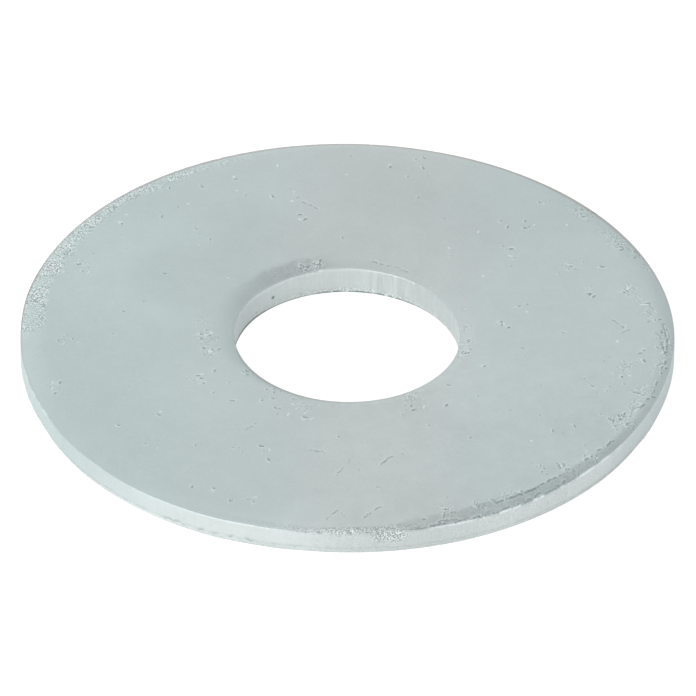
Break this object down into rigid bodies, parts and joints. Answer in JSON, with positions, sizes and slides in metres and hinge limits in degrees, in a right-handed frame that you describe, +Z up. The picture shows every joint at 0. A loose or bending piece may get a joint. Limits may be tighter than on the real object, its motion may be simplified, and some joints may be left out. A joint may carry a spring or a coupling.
{
  "type": "fender washer",
  "caption": "Flat round steel washer with a wide face and a plain central hole, punched from sheet and zinc plated.",
  "frame": {"origin": "middle of the underside, on the axis of the hole", "axes": "+Z up out of the top face, along the hole's axis; the washer is round, so +X and +Y are free"},
  "size_m": [0.0254, 0.0254, 0.0014],
  "materials": {
    "zinc": "dull pale zinc plating over punched steel"
  },
  "bodies": {
    "root": {"washer": "zinc"}
  },
  "joints": []
}
